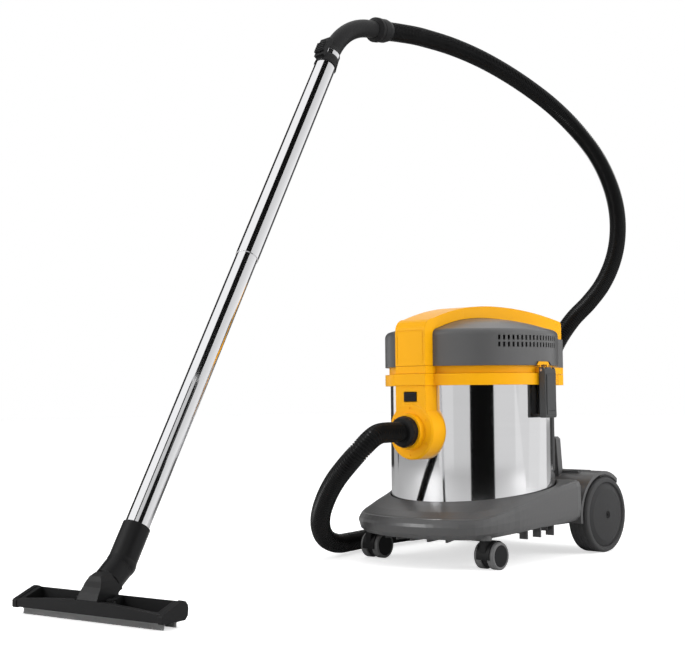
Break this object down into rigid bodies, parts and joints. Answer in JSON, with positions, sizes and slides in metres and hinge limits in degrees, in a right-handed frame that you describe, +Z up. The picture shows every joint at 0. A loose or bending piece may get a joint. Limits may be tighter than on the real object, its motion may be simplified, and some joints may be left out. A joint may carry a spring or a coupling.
{
  "type": "wheeled canister vacuum cleaner",
  "caption": "Wheeled canister vacuum with a steel drum, lift-off motor head, side latches, ribbed hose, bent handle, tube wand and floor head.",
  "frame": {"origin": "the point on the floor under the drum's axis", "axes": "+Z up, -Y towards the inlet and the floor head, +X to the machine's side with the right latch"},
  "size_m": [0.457, 1.5817, 1.0925],
  "materials": {
    "steel_sheet": "polished",
    "yellow_plastic": "satin",
    "grey_plastic": "satin",
    "black_plastic": "satin",
    "chrome_tube": "polished",
    "tyre_rubber": "matte",
    "hose_plastic": "satin",
    "bristle": "matte",
    "orange_plastic": "satin",
    "pin_steel": "satin",
    "seal_rubber": "matte",
    "motor_metal": "satin"
  },
  "bodies": {
    "machine": {"chassis": "grey_plastic", "chassis_deck": "grey_plastic", "rear_axle": "pin_steel", "drum": "steel_sheet", "lower_ring": "yellow_plastic", "inlet_housing": "yellow_plastic", "hose_connector": "black_plastic", "hose": "hose_plastic", "hose_cuff": "black_plastic", "bent_handle": "black_plastic", "upper_tube": "chrome_tube", "lower_tube": "chrome_tube", "elbow_socket": "black_plastic"},
    "motor_head": {"motor_band": "yellow_plastic", "gasket": "seal_rubber", "filter_cage": "black_plastic", "motor": "motor_metal", "motor_cover": "grey_plastic", "arch_handle": "yellow_plastic", "cable_gland": "black_plastic"},
    "power_rocker": {"power_switch": "orange_plastic"},
    "latch_right_lever": {"latch_right": "black_plastic", "latch_pin_right": "pin_steel"},
    "latch_left_lever": {"latch_left": "black_plastic", "latch_pin_left": "pin_steel"},
    "release_button": {"inlet_button": "black_plastic"},
    "air_regulator": {"air_slider": "black_plastic"},
    "caster_right_fork": {"caster_hood_right": "black_plastic"},
    "caster_right_wheels": {"caster_wheels_right": "tyre_rubber", "caster_discs_right": "black_plastic", "caster_axle_right": "pin_steel"},
    "caster_left_fork": {"caster_hood_left": "black_plastic"},
    "caster_left_wheels": {"caster_wheels_left": "tyre_rubber", "caster_discs_left": "black_plastic", "caster_axle_left": "pin_steel"},
    "rear_wheel_right": {"tyre_right": "tyre_rubber", "wheel_disc_right": "black_plastic", "wheel_screw_right": "pin_steel"},
    "rear_wheel_left": {"tyre_left": "tyre_rubber", "wheel_disc_left": "black_plastic", "wheel_screw_left": "pin_steel"},
    "neck": {"swivel_neck": "black_plastic"},
    "floor_head": {"head_body": "black_plastic", "head_pin": "pin_steel", "head_cap_left": "black_plastic", "head_cap_right": "black_plastic", "bristle_front": "bristle", "bristle_rear": "bristle"}
  },
  "joints": [
    {"name": "motor_head_lift", "type": "slide", "parent": "machine", "child": "motor_head", "axis": [0, 0, 1], "range_m": [0, 0.32]},
    {"name": "power_switch_rock", "type": "hinge", "parent": "motor_head", "child": "power_rocker", "pos_m": [0, 0.152, 0.47508], "axis": [1, 0, 0], "range_deg": [-6, 6]},
    {"name": "latch_right_swing", "type": "hinge", "parent": "motor_head", "child": "latch_right_lever", "pos_m": [0.176, 0, 0.3635], "axis": [0, -1, 0], "range_deg": [0, 75]},
    {"name": "latch_left_swing", "type": "hinge", "parent": "motor_head", "child": "latch_left_lever", "pos_m": [-0.176, 0, 0.3635], "axis": [0, 1, 0], "range_deg": [0, 75]},
    {"name": "inlet_button_press", "type": "slide", "parent": "machine", "child": "release_button", "axis": [0, 1, 0], "range_m": [0, 0.003], "stiffness_N_per_m": 600},
    {"name": "air_regulator_slide", "type": "slide", "parent": "machine", "child": "air_regulator", "axis": [-0.0986, 0.5371, 0.8377], "range_m": [0, 0.01]},
    {"name": "caster_right_swivel", "type": "hinge", "parent": "machine", "child": "caster_right_fork", "pos_m": [0.138, -0.15, 0.06], "axis": [0, 0, 1], "continuous": true},
    {"name": "caster_left_swivel", "type": "hinge", "parent": "machine", "child": "caster_left_fork", "pos_m": [-0.138, -0.15, 0.06], "axis": [0, 0, 1], "continuous": true},
    {"name": "caster_right_roll", "type": "hinge", "parent": "caster_right_fork", "child": "caster_right_wheels", "pos_m": [0.138, -0.132, 0.025], "axis": [1, 0, 0], "continuous": true},
    {"name": "caster_left_roll", "type": "hinge", "parent": "caster_left_fork", "child": "caster_left_wheels", "pos_m": [-0.138, -0.132, 0.025], "axis": [1, 0, 0], "continuous": true},
    {"name": "rear_wheel_right_spin", "type": "hinge", "parent": "machine", "child": "rear_wheel_right", "pos_m": [0.15, 0.216, 0.075], "axis": [1, 0, 0], "continuous": true},
    {"name": "rear_wheel_left_spin", "type": "hinge", "parent": "machine", "child": "rear_wheel_left", "pos_m": [-0.15, 0.216, 0.075], "axis": [1, 0, 0], "continuous": true},
    {"name": "neck_swivel", "type": "hinge", "parent": "machine", "child": "neck", "pos_m": [0.005, -0.868, 0.074], "axis": [-0.1671, 0.7956, 0.5824], "range_deg": [-90, 90]},
    {"name": "floor_head_tilt", "type": "hinge", "parent": "neck", "child": "floor_head", "pos_m": [0.0155, -0.918, 0.027], "axis": [0.9871, 0.1599, 0], "range_deg": [-18, 24]}
  ]
}
